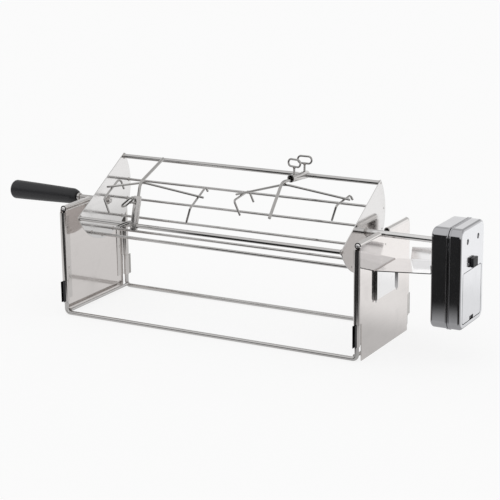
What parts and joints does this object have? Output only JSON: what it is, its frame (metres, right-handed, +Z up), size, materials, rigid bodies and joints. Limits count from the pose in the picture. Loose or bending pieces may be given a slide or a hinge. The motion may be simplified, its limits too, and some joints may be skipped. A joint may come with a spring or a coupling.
{
  "type": "rotisserie spit roaster",
  "caption": "Table-top spit roaster: polished steel side plates joined by wires carry a turning wire basket with adjustable meat forks, a side grip and a battery gear motor on a bracket.",
  "frame": {"origin": "middle of the lower edge of the motor-side plate, on the plane both plates rest on", "axes": "+X along the spit from the hand grip to the motor, +Y from the front base wire to the rear base wire, +Z up"},
  "size_m": [0.6894, 0.1791, 0.2248],
  "materials": {
    "polished_sheet": "bright annealed stainless sheet, near mirror, fine rolling grain",
    "polished_wire": "polished stainless wire",
    "chromed_turned": "turned and plated",
    "chromed_shaft": "ground and plated round bar",
    "dark_clip": "black oxide spring steel",
    "black_grip": "moulded black plastic, satin",
    "dark_chromed_case": "plated moulding, mirror finish",
    "silver_case_face": "silver metallic paint, satin",
    "black_switch": "moulded black plastic",
    "zinc_screw": "zinc plated",
    "acetal_gear": "natural acetal moulding",
    "brass_pinion": "cut brass",
    "plain_steel": "plain stamped steel",
    "sprung_contact": "nickel plated strip",
    "cell_jacket": "printed film jacket, plain"
  },
  "bodies": {
    "frame": {"side_plate_left": "polished_sheet", "side_plate_right": "polished_sheet", "base_wire_front": "polished_wire", "base_wire_rear": "polished_wire", "cross_wire_left": "polished_wire", "cross_wire_right": "polished_wire", "corner_clip_left_front": "dark_clip", "corner_clip_left_rear": "dark_clip", "corner_clip_right_front": "dark_clip", "corner_clip_right_rear": "dark_clip", "motor_bracket": "polished_sheet", "motor_rear_shell": "dark_chromed_case", "motor_front_shell": "silver_case_face", "case_screw_left": "zinc_screw", "case_screw_right": "zinc_screw", "switch_body": "black_switch", "socket_bush": "acetal_gear", "gearbox_plate": "plain_steel", "motor_can": "plain_steel", "battery_cell_left": "cell_jacket", "battery_cell_right": "cell_jacket", "contact_bridge": "sprung_contact", "contact_left": "sprung_contact", "contact_right": "sprung_contact"},
    "basket": {"basket_end_left": "polished_sheet", "basket_end_right": "polished_sheet", "basket_rod_front": "polished_wire", "basket_rod_rear": "polished_wire", "basket_wire_1": "polished_wire", "basket_wire_2": "polished_wire", "basket_wire_3": "polished_wire", "basket_wire_4": "polished_wire", "basket_wire_5": "polished_wire", "basket_wire_6": "polished_wire", "handle_rod": "chromed_shaft", "handle_ferrule": "chromed_turned", "handle_grip": "black_grip", "drive_shaft": "chromed_shaft"},
    "socket": {"drive_socket": "acetal_gear", "output_gear": "acetal_gear"},
    "gear_3": {"reduction_gear_3": "acetal_gear"},
    "gear_2": {"reduction_gear_2": "acetal_gear"},
    "gear_1": {"reduction_gear_1": "acetal_gear"},
    "pinion": {"motor_pinion": "brass_pinion"},
    "switch": {"switch_knob": "black_switch"},
    "door": {"battery_door": "silver_case_face"},
    "fork_right_clamp": {"fork_right_sleeve": "chromed_turned"},
    "fork_right_tines": {"fork_right_bar": "polished_wire", "fork_right_spreader": "polished_wire", "fork_right_claw_left": "polished_wire", "fork_right_claw_right": "polished_wire"},
    "fork_right_rod_thumbscrew": {"fork_right_rod_screw": "polished_wire"},
    "fork_right_bar_thumbscrew": {"fork_right_bar_screw": "polished_wire"},
    "fork_left_clamp": {"fork_left_sleeve": "chromed_turned"},
    "fork_left_tines": {"fork_left_bar": "polished_wire", "fork_left_spreader": "polished_wire", "fork_left_claw_left": "polished_wire", "fork_left_claw_right": "polished_wire"},
    "fork_left_rod_thumbscrew": {"fork_left_rod_screw": "polished_wire"},
    "fork_left_bar_thumbscrew": {"fork_left_bar_screw": "polished_wire"}
  },
  "joints": [
    {"name": "cage_spin", "type": "hinge", "parent": "frame", "child": "basket", "pos_m": [-0.2195, 0, 0.14475], "axis": [1, 0, 0], "continuous": true},
    {"name": "socket_spin", "type": "hinge", "parent": "frame", "child": "socket", "pos_m": [0.0805, 0, 0.14475], "axis": [1, 0, 0], "continuous": true},
    {"name": "gear_3_spin", "type": "hinge", "parent": "frame", "child": "gear_3", "pos_m": [0.0805, 0.01949, 0.14025], "axis": [1, 0, 0], "continuous": true},
    {"name": "gear_2_spin", "type": "hinge", "parent": "frame", "child": "gear_2", "pos_m": [0.0805, 0.02244, 0.15126], "axis": [1, 0, 0], "continuous": true},
    {"name": "gear_1_spin", "type": "hinge", "parent": "frame", "child": "gear_1", "pos_m": [0.0805, 0.0131, 0.1578], "axis": [1, 0, 0], "continuous": true},
    {"name": "pinion_spin", "type": "hinge", "parent": "frame", "child": "pinion", "pos_m": [0.0925, 0.00187, 0.15582], "axis": [1, 0, 0], "continuous": true},
    {"name": "fork_right_swing", "type": "hinge", "parent": "basket", "child": "fork_right_clamp", "pos_m": [-0.1345, 0.04255, 0.19813], "axis": [1, 0, 0], "range_deg": [-60, 35]},
    {"name": "fork_right_reach", "type": "slide", "parent": "fork_right_clamp", "child": "fork_right_tines", "axis": [0, -0.9976, 0.0698], "range_m": [-0.01, 0.01]},
    {"name": "fork_right_rod_screw_turn", "type": "hinge", "parent": "fork_right_clamp", "child": "fork_right_rod_thumbscrew", "pos_m": [-0.1345, 0.04255, 0.19813], "axis": [0, 0.0698, 0.9976], "range_deg": [0, 540]},
    {"name": "fork_right_bar_screw_turn", "type": "hinge", "parent": "fork_right_clamp", "child": "fork_right_bar_thumbscrew", "pos_m": [-0.1345, 0.01362, 0.20015], "axis": [0, 0.0698, 0.9976], "range_deg": [0, 540]},
    {"name": "fork_left_swing", "type": "hinge", "parent": "basket", "child": "fork_left_clamp", "pos_m": [-0.327, -0.06745, 0.13426], "axis": [1, 0, 0], "range_deg": [-35, 60]},
    {"name": "fork_left_reach", "type": "slide", "parent": "fork_left_clamp", "child": "fork_left_tines", "axis": [0, 0.2924, 0.9563], "range_m": [-0.005, 0.01]},
    {"name": "fork_left_rod_screw_turn", "type": "hinge", "parent": "fork_left_clamp", "child": "fork_left_rod_thumbscrew", "pos_m": [-0.327, -0.06745, 0.13426], "axis": [0, -0.9563, 0.2924], "range_deg": [0, 540]},
    {"name": "fork_left_bar_screw_turn", "type": "hinge", "parent": "fork_left_clamp", "child": "fork_left_bar_thumbscrew", "pos_m": [-0.327, -0.05897, 0.16199], "axis": [0, -0.9563, 0.2924], "range_deg": [0, 540]},
    {"name": "switch_slide", "type": "slide", "parent": "frame", "child": "switch", "axis": [0, 1, 0], "range_m": [-0.0025, 0.0025]},
    {"name": "battery_door_swing", "type": "hinge", "parent": "frame", "child": "door", "pos_m": [0.1155, 0, 0.115], "axis": [0, -1, 0], "range_deg": [0, 75]}
  ],
  "couplings": [
    {"joint": "socket_spin", "follows": "cage_spin", "ratio": 1},
    {"joint": "gear_3_spin", "follows": "cage_spin", "ratio": -4},
    {"joint": "gear_2_spin", "follows": "cage_spin", "ratio": 15},
    {"joint": "gear_1_spin", "follows": "cage_spin", "ratio": -56.25},
    {"joint": "pinion_spin", "follows": "cage_spin", "ratio": 210.94}
  ]
}
